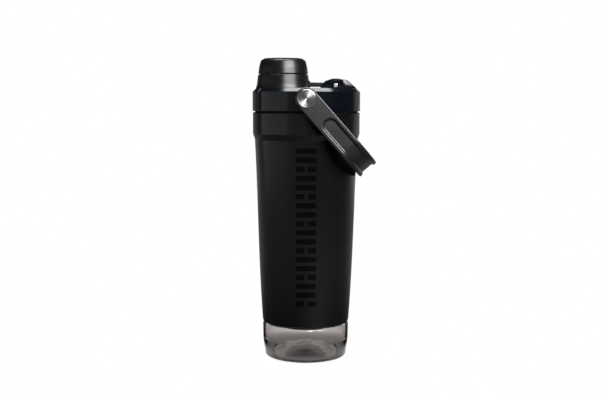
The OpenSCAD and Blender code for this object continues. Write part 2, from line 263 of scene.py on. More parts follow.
def add_thread(obj, root, crest, z, turns, lead, widths):
    """Joins on a three-start thread; widths are a ridge's at its root and at its crest."""
    for start in (0, 120, 240):
        boolean(obj, thread_tool(root, crest, z, turns, lead, widths, start), "UNION")


def prism(name, outline, y_low, y_high):
    """An outline of (x, z) points, thick along Y."""
    count = len(outline)
    points = [(x, y, z) for y in (y_low, y_high) for x, z in outline]
    faces = [[k, (k + 1) % count, count + (k + 1) % count, count + k] for k in range(count)]
    faces += [list(range(count))[::-1], list(range(count, 2 * count))]
    obj = add_mesh(name, points, faces)
    fix_normals(obj)
    return obj


def fix_normals(obj):
    """Turns every face outwards."""
    mesh = bmesh.new()
    mesh.from_mesh(obj.data)
    bmesh.ops.recalc_face_normals(mesh, faces=mesh.faces)
    mesh.to_mesh(obj.data)
    mesh.free()


def finish_piece(obj, body, material, slot, *nodes):
    """Gives a piece its material and its place on the frame."""
    obj.data.materials.clear()
    obj.data.materials.append(material)
    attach(obj, body)
    if nodes:
        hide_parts(*nodes)
    return obj


# ---- Materials ----

def new_material(name):
    """A material, its Principled shader, a helper that adds linked nodes, and the links.

    The helper names an input by its label, or by i and its number.
    """
    material = bpy.data.materials.new(name)
    material.use_nodes = True
    nodes = material.node_tree.nodes
    links = material.node_tree.links
    shader = nodes["Principled BSDF"]

    def add(kind, settings=None, **inputs):
        node = nodes.new(kind)
        for key, value in (settings or {}).items():
            setattr(node, key, value)
        for key, value in inputs.items():
            socket = node.inputs[int(key[1:])] if key[0] == "i" and key[1:].isdigit() else node.inputs[key]
            if isinstance(value, bpy.types.NodeSocket):
                links.new(value, socket)
            else:
                socket.default_value = value
        return node

    return material, shader, add, links


def noise_of(add, where, scale, detail=2.0, roughness=0.5):
    node = add("ShaderNodeTexNoise", Vector=where, Scale=scale, Detail=detail, Roughness=roughness)
    return node.outputs["Fac"]


def math_of(add, operation, first, second):
    return add("ShaderNodeMath", {"operation": operation}, i0=first, i1=second).outputs[0]


def vector_math(add, operation, vector, constant=(0, 0, 0)):
    return add("ShaderNodeVectorMath", {"operation": operation}, i0=vector, i1=constant).outputs[0]


def length_of(add, vector):
    return add("ShaderNodeVectorMath", {"operation": "LENGTH"}, i0=vector).outputs["Value"]


def blend(add, factor, first, second):
    """A colour between two, by a factor from 0 to 1."""
    mix = add("ShaderNodeMix", {"data_type": "RGBA"}, i0=factor, i6=first + (1,), i7=second + (1,))
    return mix.outputs[2]


def emboss(add, links, shader, height, strength, depth):
    """Gives a shader the bump of a height socket; depth is in millimetres."""
    bump = add("ShaderNodeBump", Strength=strength, Distance=depth * MM, Height=height)
    links.new(bump.outputs["Normal"], shader.inputs["Normal"])


def spread(add, value, lowest, highest, bottom=0.0, top=1.0):
    """Maps a value from one range to another."""
    node = add("ShaderNodeMapRange", Value=value)
    for key, number in (("From Min", bottom), ("From Max", top), ("To Min", lowest), ("To Max", highest)):
        node.inputs[key].default_value = number
    return node.outputs["Result"]


def moulded(name, colour, roughness, grain=0.5, grain_size=0.35, specular=0.5, top=None):
    """Moulded plastic or silicone: a fine spark-eroded grain and a slightly uneven sheen.

    A mould often has a coarser, duller texture on flat tops: top is their roughness.
    """
    darker, lighter = 0.85, 1.15
    level_from, level_to = 0.93, 0.985
    material, shader, add, links = new_material(name)
    place = add("ShaderNodeTexCoord")
    where = place.outputs["Object"]
    cloud = noise_of(add, where, scale=45, detail=3)
    fine = noise_of(add, where, scale=1 / (grain_size * MM), roughness=0.6)
    shade = blend(add, cloud, tuple(c * darker for c in colour), tuple(c * lighter for c in colour))
    links.new(shade, shader.inputs["Base Color"])
    sheen = spread(add, cloud, roughness * 0.9, roughness * 1.1, 0.3, 0.7)
    if top:
        upward = add("ShaderNodeSeparateXYZ", i0=place.outputs["Normal"]).outputs["Z"]
        extra = spread(add, upward, 0, top - roughness, level_from, level_to)
        sheen = math_of(add, "ADD", sheen, extra)
    links.new(sheen, shader.inputs["Roughness"])
    shader.inputs["Specular IOR Level"].default_value = specular
    emboss(add, links, shader, fine, grain, 0.03)
    return material


def powder_coat():
    """Near-black textured powder coat: fine orange peel with a scatter of brighter specks."""
    material, shader, add, links = new_material("powder_coat")
    where = add("ShaderNodeTexCoord").outputs["Object"]
    peel = noise_of(add, where, scale=1500, detail=3, roughness=0.55)
    broad = noise_of(add, where, scale=420)
    speck = add("ShaderNodeTexVoronoi", Vector=where, Scale=1300.0).outputs["Distance"]
    glint = spread(add, speck, 1, 0, 0.0, 0.25)
    shade = blend(add, glint, (0.0028, 0.0028, 0.003), (0.012, 0.012, 0.0125))
    links.new(shade, shader.inputs["Base Color"])
    links.new(spread(add, broad, 0.19, 0.25, 0.3, 0.7), shader.inputs["Roughness"])
    shader.inputs["Specular IOR Level"].default_value = 0.45
    emboss(add, links, shader, math_of(add, "ADD", peel, broad), 0.55, 0.05)
    return material


def turned_steel(name, colour, roughness, axis, rings, centre=(0, 0, 0), anisotropic=0.0):
    """Metal with fine machining lines round an axis, as a lathe or a spinning brush leaves them."""
    darker = 0.82
    material, shader, add, links = new_material(name)
    where = add("ShaderNodeTexCoord").outputs["Object"]
    moved = vector_math(add, "SUBTRACT", where, [c * MM for c in centre])
    flat = vector_math(add, "MULTIPLY", moved, [0.0 if axis == letter else 1.0 for letter in "XYZ"])
    lines = add("ShaderNodeTexNoise", {"noise_dimensions": "1D"}, W=length_of(add, flat), Scale=rings,
                Detail=3.0).outputs["Fac"]
    shade = blend(add, lines, tuple(c * darker for c in colour), colour)
    links.new(shade, shader.inputs["Base Color"])
    links.new(spread(add, lines, roughness * 0.8, roughness * 1.25, 0.3, 0.7), shader.inputs["Roughness"])
    shader.inputs["Metallic"].default_value = 1.0
    if anisotropic:
        shader.inputs["Anisotropic"].default_value = anisotropic
        shader.inputs["Anisotropic Rotation"].default_value = 0.25
        tangent = add("ShaderNodeTangent", {"direction_type": "RADIAL", "axis": axis})
        links.new(tangent.outputs[0], shader.inputs["Tangent"])
    emboss(add, links, shader, lines, 0.35, 0.01)
    return material


def smoke_clear():
    """Clear smoke-grey copolyester: the tint lies in the wall, so thick places are darker."""
    material, shader, add, links = new_material("smoke_clear")
    where = add("ShaderNodeTexCoord").outputs["Object"]
    flow = noise_of(add, where, scale=60)
    shader.inputs["Base Color"].default_value = (1, 1, 1, 1)
    shader.inputs["Transmission Weight"].default_value = 1.0
    shader.inputs["IOR"].default_value = 1.5
    links.new(spread(add, flow, 0.02, 0.06, 0.3, 0.7), shader.inputs["Roughness"])
    emboss(add, links, shader, flow, 0.08, 0.2)
    tint = add("ShaderNodeVolumeAbsorption", Density=195.0, Color=(0.30, 0.24, 0.20, 1))
    output = next(n for n in material.node_tree.nodes if n.type == "OUTPUT_MATERIAL")
    links.new(tint.outputs[0], output.inputs["Volume"])
    return material


COAT = powder_coat()
PRINT = moulded("gloss_print", (0.0014, 0.0015, 0.0018), 0.2, grain=0.15, grain_size=0.5, specular=0.12)
LID = moulded("lid_plastic", (0.0022, 0.0032, 0.0052), 0.15, grain=0.25, grain_size=0.3,
              specular=0.42, top=0.75)
STRAP = moulded("strap_plastic", (0.0018, 0.0022, 0.0021), 0.38, grain=0.6, grain_size=0.35, specular=0.95)
CAP_SKIN = moulded("cap_plastic", (0.005, 0.005, 0.0052), 0.3, grain=0.5, grain_size=0.3, top=0.8)
INNER = moulded("inner_plastic", (0.018, 0.018, 0.019), 0.33, grain=0.3)
SILICONE = moulded("silicone", (0.012, 0.012, 0.012), 0.6, grain=0.3, grain_size=0.6, specular=0.4)
SMOKE = smoke_clear()
SPUN = turned_steel("spun_steel", (0.84, 0.835, 0.82), 0.25, "Y", 2200.0, PIVOT, 0.85)
PIN = turned_steel("pin_steel", (0.74, 0.74, 0.745), 0.3, "Y", 3000.0, HINGE)
STEEL = turned_steel("drawn_steel", (0.6, 0.595, 0.585), 0.3, "Z", 1500.0)
BRASS = turned_steel("brass", (0.78, 0.57, 0.26), 0.3, "Y", 2500.0, PIVOT)


# ---- Bottle ----

FOOT_R = 36.5
FOOT_IN, FOOT_UP = 1.1, 2.2
WAIST_R = 43.1
WAIST_Z = 183.1
BAND_Z = 188.8
SIDE_LOW = FOOT_Z + FOOT_UP
SHELL_WALL = 0.9
FOOT_SLOPE, WAIST_SLOPE = 0.073, 0.054
SHOULDER_STEPS = 16


def ease(t):
    """Goes from 0 to 1 and is level at both ends."""
    return t * t * (3 - 2 * t)


def side_r(z):
    """Outer radius of the shell at a height under the shoulder: a cubic with a slope at each end."""
    span = WAIST_Z - SIDE_LOW
    t = (z - SIDE_LOW) / span
    return (FOOT_R * (1 + 2 * t) * (1 - t) ** 2 + span * FOOT_SLOPE * t * (1 - t) ** 2
            + WAIST_R * ease(t) - span * WAIST_SLOPE * t * t * (1 - t))


def side(inset=0.0, steps=60):
    """Points of the shell's side and shoulder, from the foot up."""
    points = []
    for i in range(steps + 1):
        z = SIDE_LOW + (WAIST_Z - SIDE_LOW) * i / steps
        points.append((side_r(z) - inset, z))
    for i in range(1, SHOULDER_STEPS + 1):
        t = i / SHOULDER_STEPS
        points.append((WAIST_R + (BAND_R - WAIST_R) * ease(t) - inset, WAIST_Z + (BAND_Z - WAIST_Z) * t))
    return points


def outer_shell():
    neck_r = -low("inner_liner").x
    rim = rounded([(BAND_R, BAND_Z + 3, 0), (BAND_R, RIM_Z, 0.9), (neck_r, RIM_Z, 0.2),
                   (neck_r, RIM_Z - SHELL_WALL, 0)], 5, False)[1:]
    # the foot turns in as a quarter of an ellipse
    foot = [(FOOT_R - FOOT_IN - 0.4, FOOT_Z)]
    foot += [(FOOT_R - FOOT_IN * (1 - math.cos(a)), SIDE_LOW - FOOT_UP * math.sin(a))
             for a in [math.radians(90 - 9 * k) for k in range(10)]]
    inner = [(BAND_R - SHELL_WALL, RIM_Z - SHELL_WALL)] + side(SHELL_WALL, 24)[::-1]
    outline = foot + side() + rim + inner
    shell = lathe("shell", outline, 224)
    return finish_piece(shell, "vessel", COAT, "coat", "outer_shell")


def print_bars():
    """A plain column of gloss bars on the front, in place of any wording."""
    half, gap, height, corner, lift = 8.3, 1.3, 4.4, 1.3, 0.07
    rows, bottom, pitch = 18, 48.5, 7.35
    points, faces = [], []
    for row in range(rows):
        z0, z1 = bottom + row * pitch, bottom + row * pitch + height
        # every third bar is in two parts
        parts = [(-half, half)] if row % 3 else [(-half, -gap), (gap, half)]
        for left, right in parts:
            outline = rounded([(left, z0, corner), (right, z0, corner), (right, z1, corner),
                               (left, z1, corner)], 6)
            add_patch(points, faces, outline, lift)
    bars = add_mesh("front_bars", points, faces)
    return finish_piece(bars, "vessel", PRINT, "coat")


def add_patch(points, faces, outline, lift):
    """A thin raised patch of this (across, height) outline, wrapped on the front of the shell."""
    columns, margin, sunk = 14, 0.002, 0.05
    xs = [p[0] for p in outline]
    left, right = min(xs), max(xs)
    strips = []
    for c in range(columns + 1):
        # close together at the ends, where the corners are round
        t = 0.5 - 0.5 * math.cos(math.pi * c / columns)
        x = left + (right - left) * min(max(t, margin), 1 - margin)
        zs = crossings(outline, x)
        strips.append((x, min(zs), max(zs)))
    base = len(points)
    for x, z_low, z_high in strips:
        for z in (z_low, z_high):
            for r in (side_r(z) - sunk, side_r(z) + lift):
                a = x / side_r(z)
                points.append((r * math.sin(a), -r * math.cos(a), z))
    for c in range(columns):
        a, b = base + 4 * c, base + 4 * (c + 1)
        faces.append([a + 1, b + 1, b + 3, a + 3])
        faces.append([a, a + 2, b + 2, b])
        faces.append([a, b, b + 1, a + 1])
        faces.append([a + 2, a + 3, b + 3, b + 2])
    end = base + 4 * columns
    faces.append([base, base + 1, base + 3, base + 2])
    faces.append([end, end + 2, end + 3, end + 1])


def crossings(outline, x):
    """Heights at which a vertical line crosses an outline."""
    found = []
    for (x0, z0), (x1, z1) in zip(outline, outline[1:] + outline[:1]):
        if x0 != x1 and min(x0, x1) <= x <= max(x0, x1):
            found.append(z0 + (z1 - z0) * (x - x0) / (x1 - x0))
    return found


# ---- Storage cup ----

CUP_WALL = 2.2
CUP_FOOT_R = 30.8
DOME_R, DOME_TOP = 29.0, 10.6
BEND_Z = 15
NECK_R = 31.6
SHOULDER_Z = low("storage_seal").z


def storage_cup():
    """The clear cup: a floor that rises in a dome, and a thread on a neck inside the shell."""
    steps, rise = 12, DOME_TOP - CUP_WALL
    inner_r, neck_in, step_z = CUP_R - CUP_WALL, NECK_R - CUP_WALL, SHOULDER_Z - 1.4
    under = [(DOME_R * i / steps, rise * math.cos(QUARTER * i / steps) ** 2) for i in range(steps)]
    wall = rounded([(DOME_R, 0, 0.8), (CUP_FOOT_R + 3.2, 0, 4.6), (CUP_R - 0.3, BEND_Z, 6),
                    (CUP_R, SHOULDER_Z, 2), (NECK_R, SHOULDER_Z, 0.5), (NECK_R, CUP_TOP, 0.6),
                    (neck_in, CUP_TOP, 0.6), (neck_in, step_z, 0.5), (inner_r, step_z, 0.9),
                    (inner_r - 1.2, BEND_Z, 8), (CUP_FOOT_R - 0.6, CUP_WALL + 0.6, 7),
                    (DOME_R, CUP_WALL, 2)], 10)
    above = [(r, z + CUP_WALL) for r, z in under[::-1]]
    cup = lathe("cup", under + wall + above, 192)
    add_thread(cup, NECK_R - 0.3, NECK_R + 1.25, z=33.9, turns=0.75, lead=9, widths=(1.2, 0.5))
    return finish_piece(cup, "storage_cup", SMOKE, "smoke", "storage_cup")


def gasket(name, node, width, bead):
    """A silicone ring with a bead on its outer edge, on the body that has its node's name."""
    lip = 0.25
    z0, z1, r_out = low(node).z, high(node).z, high(node).x
    r_in, r_lip = r_out - width, r_out - bead
    outline = rounded([(r_in, z0, 0.2), (r_lip, z0, 0.2), (r_lip, z0 + lip, 0.1),
                       (r_out, (z0 + z1) / 2, 0.4), (r_lip, z1 - lip, 0.1), (r_lip, z1, 0.2),
                       (r_in, z1, 0.2)], 4)
    return finish_piece(lathe(name, outline), node, SILICONE, "silicone", node)


# ---- Lid ----

LID_WALL = 2.4
CHAMFER = 2.8
PAD_R, PAD_LOW = 7.6, 38
PIVOT_BORE_R = 4.0
SPOUT_R = 13.5
PANEL_ANGLE = math.radians(29)
GROOVE_DEPTH, GROOVE_HALF, GROOVE_EDGE = 0.7, 0.55, 0.25
SLOT_W = 15.2
KNUCKLE_R = 3.9


def panel_angles():
    """Angles for the lid's mesh: even steps, with extra columns at the two panel grooves."""
    count, closest = 180, 0.012
    extra = [side_sign * PANEL_ANGLE + math.pi + across / LID_R
             for side_sign in (-1, 1) for across in (-0.75, -0.5, -0.3, 0, 0.3, 0.5, 0.75)]
    even = [2 * math.pi * k / count for k in range(count)]
    return sorted([a for a in even if all(abs(a - e) > closest for e in extra)] + extra)


def panel_groove(angle, r, z):
    """How deep the two upright grooves are that set off the panel under the spout."""
    if r < LID_R - CHAMFER - 0.2 or z > DECK_Z - 0.05:
        return 0
    across = min(abs(angle - math.pi - s * PANEL_ANGLE) for s in (-1, 1)) * LID_R
    return GROOVE_DEPTH * max(0, min(1, (GROOVE_HALF - across) / GROOVE_EDGE))


def spout_bore(radius, z_low, z_high):
    """A tool that cuts the spout's bore between two heights."""
    return lathe("bore", [(0, z_low), (radius, z_low), (radius, z_high), (0, z_high)], 96, (CAP.x, 0))


def lid_shell():
    inner_r, inner_top = LID_R - LID_WALL, DECK_Z - 2.5
    outline = rounded([(inner_r, LID_Z, 0.2), (LID_R, LID_Z, 0.3), (LID_R, DECK_Z - CHAMFER, 0.3),
                       (LID_R - CHAMFER, DECK_Z, 0.4), (34, DECK_Z, 0), (0, DECK_Z, 0), (0, inner_top, 0),
                       (inner_r - 2, inner_top, 1), (inner_r, inner_top - 2, 1)])
    lid = lathe("lid", outline, panel_angles(), sink=panel_groove)
    for side_name in ("front", "back"):
        pad = rounded([(0, PAD_LOW, 0), (PAD_R, PAD_LOW, 0), (PAD_R, BUSH_LOW, 0.3), (0, BUSH_LOW, 0)], 4)
        boolean(lid, lay_along_y(lathe("pad", pad, 48), side_name), "UNION")
        hole = [(0, PAD_LOW - 1), (PIVOT_BORE_R, PAD_LOW - 1), (PIVOT_BORE_R, 60), (0, 60)]
        boolean(lid, lay_along_y(lathe("hole", hole, 40), side_name))
    boolean(lid, spout_bore(SPOUT_R + 0.1, 200, 240))
    pocket_r, turns = KNUCKLE_R + 0.4, [math.radians(10 * k) for k in range(36)]
    pocket = [(HINGE.x + pocket_r * math.cos(a), HINGE.z + pocket_r * math.sin(a)) for a in turns]
    boolean(lid, prism("pocket", pocket, -SLOT_W / 2, SLOT_W / 2))
    return finish_piece(lid, "lid", LID, "lid_plastic", "lid_shell")


def spout():
    flange_r, top, bore_r = SPOUT_R + 3, high("spout").z, SPOUT_R - 2.2
    flange_low, flange_top = DECK_Z + 0.02, DECK_Z + 0.9
    outline = rounded([(bore_r, LID_Z, 0.4), (SPOUT_R, LID_Z, 0.3), (SPOUT_R, flange_low, 0),
                       (flange_r, flange_low, 0), (flange_r, flange_top, 0.4), (SPOUT_R, flange_top, 0.6),
                       (SPOUT_R, top, 0.9), (bore_r, top, 0.9)])
    tube = lathe("spout_tube", outline, 128, (CAP.x, 0))
    for turn in (0, math.pi):
        add_lug(tube, turn, SPOUT_R - 0.4, SPOUT_R + 2.0, z_low=232.4, z_high=234.6)
    return finish_piece(tube, "lid", INNER, "inner_plastic", "spout")


def add_lug(obj, turn, r_in, r_out, z_low, z_high):
    """A bayonet lug: part of a ring, rounded at its edges, joined on."""
    half_angle, steps = math.radians(25), 16
    section = rounded([(r_in, z_low, 0), (r_out, z_low, 0.35), (r_out, z_high, 0.35), (r_in, z_high, 0)], 3)
    points, faces = [], []
    for i in range(steps + 1):
        a = turn - half_angle + 2 * half_angle * i / steps
        for r, z in section:
            points.append((CAP.x + r * math.cos(a), r * math.sin(a), z))
    n = len(section)
    for i in range(steps):
        for k in range(n):
            m = (k + 1) % n
            faces.append([n * i + k, n * i + n + k, n * i + n + m, n * i + m])
    faces += [list(range(n)), list(range(n * steps, n * steps + n))[::-1]]
    lug = add_mesh("lug", points, faces)
    fix_normals(lug)
    boolean(obj, lug, "UNION")


def lid_core():
    plug_r, wall, bottom = 37.6, 2.4, low("lid_core").z
    flange_r, top = high("lid_core").x, high("lid_core").z
    outline = rounded([(plug_r - wall, bottom, 0.6), (plug_r, bottom, 0.6), (plug_r, LID_Z, 0.4),
                       (flange_r, LID_Z, 0.3), (flange_r, top, 0.3), (0, top, 0), (0, LID_Z, 0),
                       (plug_r - wall, LID_Z, 1)])
    core = lathe("lid_plug", outline)
    boolean(core, spout_bore(SPOUT_R, 200, 215))
    add_thread(core, plug_r - 0.3, 39.55, z=196, turns=0.62, lead=12, widths=(1.7, 0.7))
    return finish_piece(core, "lid", INNER, "inner_plastic", "lid_core")


# ---- Cap, arm and hinge ----

def hinge_wedge(ear_back, half_w, top):
    """The sloped block behind the ears: its back follows the lid's round edge and leans in as it rises."""
    rear, lean, draft, narrow, per_row = LID_R - CHAMFER, 1.13, 0.145, 6, 15
    rise, wide = top - DECK_Z, half_w - 0.3
    levels = [(0, rear + 0.1), (rise - 1.0, rear - lean * (rise - 1.0)),
              (rise - 0.25, rear - lean * rise - 0.3), (rise, rear - lean * rise - 1.1)]
    points, faces = [], []
    for h, r in levels:
        back_half = narrow + (wide - narrow) * (1 - (r - ear_back) / (rear - ear_back))
        shares = [k / (per_row - 1) * 2 - 1 for k in range(per_row)]
        for y in [share * (back_half - draft * h) for share in shares]:
            points.append((math.sqrt(r * r - y * y), y, DECK_Z + h))
        for share in shares:
            points.append((ear_back - 1.5, share * (wide - draft * h), DECK_Z + h))
    row = 2 * per_row
    loop = list(range(per_row)) + list(range(row - 1, per_row - 1, -1))
    for base in range(0, (len(levels) - 1) * row, row):
        for a, b in zip(loop, loop[1:] + loop[:1]):
            faces.append([base + a, base + b, base + row + b, base + row + a])
    last = (len(levels) - 1) * row
    for k in range(per_row - 1):
        faces.append([last + k, last + k + 1, last + per_row + k + 1, last + per_row + k])
        faces.append([k, k + 1, per_row + k + 1, per_row + k])
    wedge = add_mesh("wedge", points, faces)
    fix_normals(wedge)
    return bevel(wedge, 0.3, 2, 50)


def hinge_block():
    front, ear_back, half_w, top = HINGE.x - 12.2, 30.2, 11.0, 233.3
    base_z, ear_half, ear_top = DECK_Z - 0.3, 2.6, HINGE.z + 5.6
    ears = rounded([(front, base_z, 0), (front, HINGE.z - 0.6, 0.5), (front + 3.6, HINGE.z + 3.6, 1.2),
                    (HINGE.x - ear_half, ear_top, 2), (HINGE.x + ear_half, ear_top, 2), (ear_back, top, 0.4),
                    (ear_back, base_z, 0)])
    block = bevel(prism("cap_hinge_block", ears, -half_w, half_w), 0.35)
    boolean(block, hinge_wedge(ear_back, half_w, top), "UNION")
    x0, x1, z0, z1 = front - 1, HINGE.x + 5.4, DECK_Z - 1, 240
    boolean(block, prism("slot", [(x0, z0), (x1, z0), (x1, z1), (x0, z1)], -SLOT_W / 2, SLOT_W / 2))
    # the arm comes to rest on this ramp
    opened, arm_half = math.radians(130), 2.55
    along = Vector((-math.cos(opened), math.sin(opened))) * 30
    normal = Vector((math.sin(opened), math.cos(opened))) * arm_half
    pin = Vector((HINGE.x, HINGE.z))
    corners = [tuple(c) for c in (pin, pin + along, pin + along + normal, pin + normal)]
    boolean(block, prism("ramp", corners, -SLOT_W / 2, SLOT_W / 2))
    return finish_piece(block, "lid", LID, "lid_plastic", "hinge_block")


def hinge_pin():
    half = (high("hinge_pin").y - low("hinge_pin").y) / 2
    outline = rounded([(0, -half, 0), (PIN_R, -half, 0.35), (PIN_R, half, 0.35), (0, half, 0)])
    pin = lay_on_hinge(lathe("cap_hinge_pin", outline, 64))
    return finish_piece(pin, "lid", PIN, "pin_steel", "hinge_pin")


def cap_arm():
    """The ring that stays round the turning cap, with its arm and the hinge's knuckle."""
    ring_top, bore, bore_top = 237.5, 19.4, 228.8
    outline = rounded([(bore + 1, RING_LOW, 0.3), (RING_R, RING_LOW, 0.35),
                       (RING_R - 0.7, RING_LOW + 2.2, 4), (RING_R - 1.3, RING_LOW + 4.4, 6),
                       (RING_R - 2.4, ring_top, 0.7),
                       (bore, ring_top, 0.3), (bore, bore_top, 0), (bore + 1, bore_top, 0)], 6)
    ring = lathe("cap_ring_and_arm", outline, 176, (CAP.x, 0))
    low_z, top_z, half_w, start = 227.4, 230.9, 7.0, CAP.x + bore + 1.2
    arm = prism("arm", [(start, low_z), (HINGE.x, low_z), (HINGE.x, top_z), (start, top_z)], -half_w, half_w)
    bevel(arm, 0.45)
    # a fillet where the arm leaves the ring
    fillet, ring_side, sunk_z = 1.4, start + 1.6, top_z - 0.5
    foot = [(start, sunk_z), (start, top_z + fillet)]
    foot += [(ring_side + fillet * (1 - math.cos(t)), top_z + fillet - fillet * math.sin(t) - 0.02)
             for t in [math.radians(15 * k) for k in range(7)]]
    foot += [(ring_side + fillet + 0.2, sunk_z)]
    boolean(arm, prism("fillet", foot, -half_w + 0.5, half_w - 0.5), "UNION")
    end = 7.3
    knuckle = rounded([(0, -end, 0), (KNUCKLE_R, -end, 0.4), (KNUCKLE_R, end, 0.4), (0, end, 0)], 4)
    boolean(arm, lay_on_hinge(lathe("knuckle", knuckle, 64)), "UNION")
    boolean(ring, arm, "UNION")
    hole_r = PIN_R + 0.05
    boolean(ring, lay_on_hinge(lathe("hole", [(0, -20), (hole_r, -20), (hole_r, 20), (0, 20)], 48)))
    return finish_piece(ring, "cap_arm", CAP_SKIN, "strap_plastic", "cap_arm")


def cap_shell():
    inner_r, inner_top = 17, CAP_TOP - 2.5
    outline = rounded([(inner_r, CAP_LOW, 0.3), (CAP_R, CAP_LOW, 0.35), (CAP_R - 0.8, CAP_LOW + 6, 20),
                       (CAP_R - 2.1, CAP_TOP - 1.9, 2), (CAP_R - 5.2, CAP_TOP, 3), (0, CAP_TOP - 0.02, 0),
                       (0, inner_top, 0), (inner_r, inner_top, 0.6)], 9)
    cap = lathe("cap", outline, 176, (CAP.x, 0))
    return finish_piece(cap, "cap", CAP_SKIN, "strap_plastic", "cap_shell")


def cap_liner():
    """The inner cap: a rim held under the ring, a thin wall inside the cap, and two lugs."""
    bottom, plate = low("cap_liner").z, high("cap_seal").z
    bore_r, rim_r, body_r, wall_in, wall_out = 17, 20, 19.1, 16.6, 17.95
    rim_z, plate_top = bottom + 1, plate + 2
    outline = rounded([(bore_r, bottom, 0.4), (rim_r, bottom, 0.3), (rim_r, rim_z, 0.3), (body_r, rim_z, 0),
                       (body_r, CAP_LOW, 0.2), (wall_out, CAP_LOW, 0), (wall_out, plate_top, 0.4),
                       (0, plate_top, 0), (0, plate, 0), (wall_in, plate, 0.3), (wall_in, CAP_LOW, 0.2),
                       (bore_r, CAP_LOW - 0.6, 0.2)], 4)
    liner = lathe("cap_inner", outline, 144, (CAP.x, 0))
    for turn in (QUARTER, -QUARTER):
        add_lug(liner, turn, 17.3, SPOUT_R + 1, z_low=229.6, z_high=231.8)
    return finish_piece(liner, "cap", INNER, "inner_plastic", "cap_liner")


def cap_seal():
    """The silicone disc in the cap, with a raised land that meets the spout's rim."""
    land_z, top = low("cap_seal").z, high("cap_seal").z - 0.02
    face_z, edge_r = land_z + 0.5, 16.4
    outline = rounded([(0, face_z, 0), (9.5, face_z, 0.3), (10.4, land_z, 0.3), (14.6, land_z, 0.3),
                       (15.2, face_z, 0.3), (edge_r, face_z, 0.3), (edge_r, top, 0.2), (0, top, 0)], 4)
    seal = lathe("cap_face_seal", outline, 128, (CAP.x, 0))
    return finish_piece(seal, "cap", SILICONE, "silicone", "cap_seal")


# ---- Handle ----

HANG = math.radians(48.5)
ARM_GAP = 46.6
STRAP_T = 4.3
STRAP_W = 18.1
REACH = 78.7
STRAIGHT = 50.0
CHANNEL_W = 13.0
CHANNEL_START = 22.2
CHANNEL_DEPTH = 1.7
CHANNEL_WALL = 1.9
EDGE_IN, EDGE_DROP = 0.9, 0.8
INNER_EDGE_SHARE = 0.7


def handle_path(step):
    """Rows along the strap, from the front arm's end to the back's: inner point, way out, reach."""
    bow = REACH - STRAP_T - STRAIGHT
    arm_rows = round((STRAIGHT + STRAP_W / 2) / step)
    curve_rows = round(math.pi * (ARM_GAP + bow) / 2 / step)
    reaches = [-STRAP_W / 2 + (STRAIGHT + STRAP_W / 2) * i / arm_rows for i in range(arm_rows)]
    rows = [(Vector((u, -ARM_GAP)), Vector((0, -1)), u) for u in reaches]
    for i in range(curve_rows + 1):
        t = math.pi * i / curve_rows
        inner = Vector((STRAIGHT + bow * math.sin(t), -ARM_GAP * math.cos(t)))
        outer = Vector((STRAIGHT + (bow + STRAP_T) * math.sin(t), -(ARM_GAP + STRAP_T) * math.cos(t)))
        rows.append((inner, (outer - inner) / STRAP_T, STRAIGHT + 1))
    return rows + [(Vector((u, ARM_GAP)), Vector((0, 1)), u) for u in reversed(reaches)]


def channel_depth(u, w):
    """Depth of the channel at a reach along the strap and a place across it."""
    half = CHANNEL_W / 2
    centre = CHANNEL_START + half
    out = abs(w) - half if u > centre else math.hypot(u - centre, w) - half
    t = max(0, min(1, -out / CHANNEL_WALL))
    return CHANNEL_DEPTH * ease(t)


def edge_round(out):
    """How far the strap's face drops near its edge, for the distance inside it."""
    if out >= EDGE_IN:
        return 0
    return EDGE_DROP * (1 - math.sqrt(max(0, 1 - (1 - out / EDGE_IN) ** 2)))


def handle():
    half_w = STRAP_W / 2
    columns = round(STRAP_W / 0.42)
    points, faces = [], []
    rows = handle_path(0.6)
    # a quarter of the way to columns that crowd towards the edges
    crowd = 0.25
    even = [2 * k / columns - 1 for k in range(columns + 1)]
    across = [math.sin(QUARTER * share) * crowd + share * (1 - crowd) for share in even]
    for inner, outward, u in rows:
        # the arms end in a half circle round the pivot
        limit = math.sqrt(max(half_w ** 2 - u ** 2, 1e-4)) if u < 0 else half_w
        for outer_face in (True, False):
            for w in [share * limit for share in across]:
                inside = half_w - (math.hypot(u, w) if u < 0 else abs(w))
                if outer_face:
                    off = STRAP_T - edge_round(inside) - channel_depth(u, w)
                else:
                    off = edge_round(inside) * INNER_EDGE_SHARE
                p = inner + outward * off
                points.append((p.x, p.y, w))
    n = columns + 1
    ring = list(range(n)) + list(range(2 * n - 1, n - 1, -1))
    for i in range(len(rows) - 1):
        for a, b in zip(ring, ring[1:] + ring[:1]):
            faces.append([2 * n * i + a, 2 * n * i + b, 2 * n * (i + 1) + b, 2 * n * (i + 1) + a])
    for base in (0, 2 * n * (len(rows) - 1)):
        for k in range(columns):
            faces.append([base + k, base + k + 1, base + n + k + 1, base + n + k])
    sharp, hole_r = 40, 4.05
    strap = add_mesh("carry_handle", points, faces, sharp)
    fix_normals(strap)
    hole = lathe("hole", [(0, -70), (hole_r, -70), (hole_r, 70), (0, 70)], 64)
    hole.data.transform(Matrix.Rotation(QUARTER, 4, "X"))
    boolean(strap, hole, sharp=sharp)
    place = Matrix.Translation(Vector((0, 0, PIVOT.z)) * MM) @ Matrix.Rotation(HANG, 4, "Y")
    strap.data.transform(place)
    return finish_piece(strap, "handle", STRAP, "strap_plastic", "handle")


SHAFT_R = 2.5


